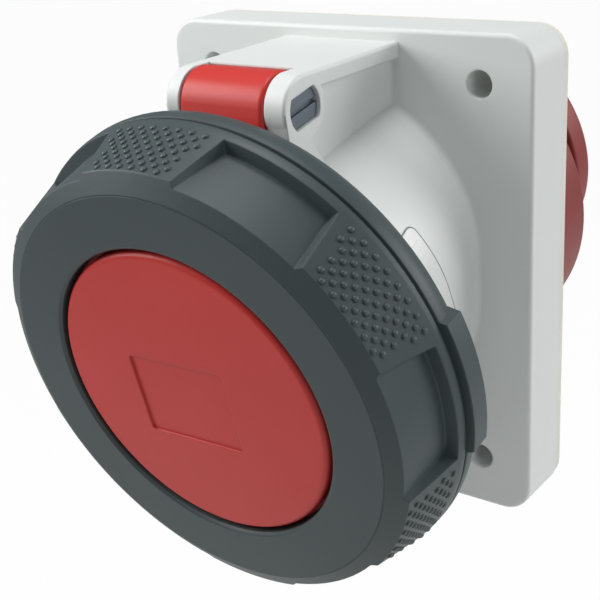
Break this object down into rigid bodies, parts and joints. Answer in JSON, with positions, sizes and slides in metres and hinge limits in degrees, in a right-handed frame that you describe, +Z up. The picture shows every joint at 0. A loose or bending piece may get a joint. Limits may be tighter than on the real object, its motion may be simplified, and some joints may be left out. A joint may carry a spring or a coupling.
{
  "type": "panel-mounted power socket",
  "caption": "Panel-mounted industrial power socket with an inclined neck, a hinged round lid and a bayonet locking ring.",
  "frame": {"origin": "middle of the four panel screw holes, in the plane of the flange's rear face", "axes": "+X to the right seen from the front, +Y into the panel, +Z up; the socket's axis leans 12.1 degrees down from -Y"},
  "size_m": [0.1328, 0.1598, 0.1379],
  "materials": {
    "grey_plastic": "satin moulded polyamide",
    "red_plastic": "satin moulded polyamide",
    "rear_plastic": "satin moulded polyamide",
    "carrier_plastic": "satin moulded polyamide",
    "ring_plastic": "fine satin moulded polyamide",
    "pin_plastic": "satin",
    "gasket_rubber": "matt foamed rubber",
    "seal_rubber": "matt",
    "contact_brass": "nickel-plated",
    "spring_steel": "drawn wire",
    "screw_steel": "zinc-plated"
  },
  "bodies": {
    "socket": {"housing": "grey_plastic", "socket_collar": "grey_plastic", "socket_shoulder": "grey_plastic", "flange_gasket": "gasket_rubber", "contact_carrier": "carrier_plastic", "contact_insert": "carrier_plastic", "carrier_seal": "seal_rubber", "terminal_body": "rear_plastic", "wire_cap": "rear_plastic", "contact_earth": "contact_brass", "contact_l1": "contact_brass", "contact_l2": "contact_brass", "contact_l3": "contact_brass", "contact_neutral": "contact_brass", "contact_pilot": "contact_brass", "contact_springs": "spring_steel", "terminal_screws": "screw_steel", "carrier_screws": "screw_steel", "hinge_pin": "pin_plastic", "hinge_spring": "spring_steel"},
    "lid": {"lid": "red_plastic", "lid_seal": "seal_rubber"},
    "ring": {"bayonet_ring": "ring_plastic", "ring_face": "ring_plastic", "ring_ramps": "ring_plastic"}
  },
  "joints": [
    {"name": "lid_hinge", "type": "hinge", "parent": "socket", "child": "lid", "pos_m": [0, -0.0584, 0.0526], "axis": [-1, 0, 0], "range_deg": [0, 110]},
    {"name": "ring_turn", "type": "hinge", "parent": "lid", "child": "ring", "pos_m": [0, 0, 0.0043], "axis": [0, 0.9778, 0.2096], "range_deg": [0, 35]}
  ]
}
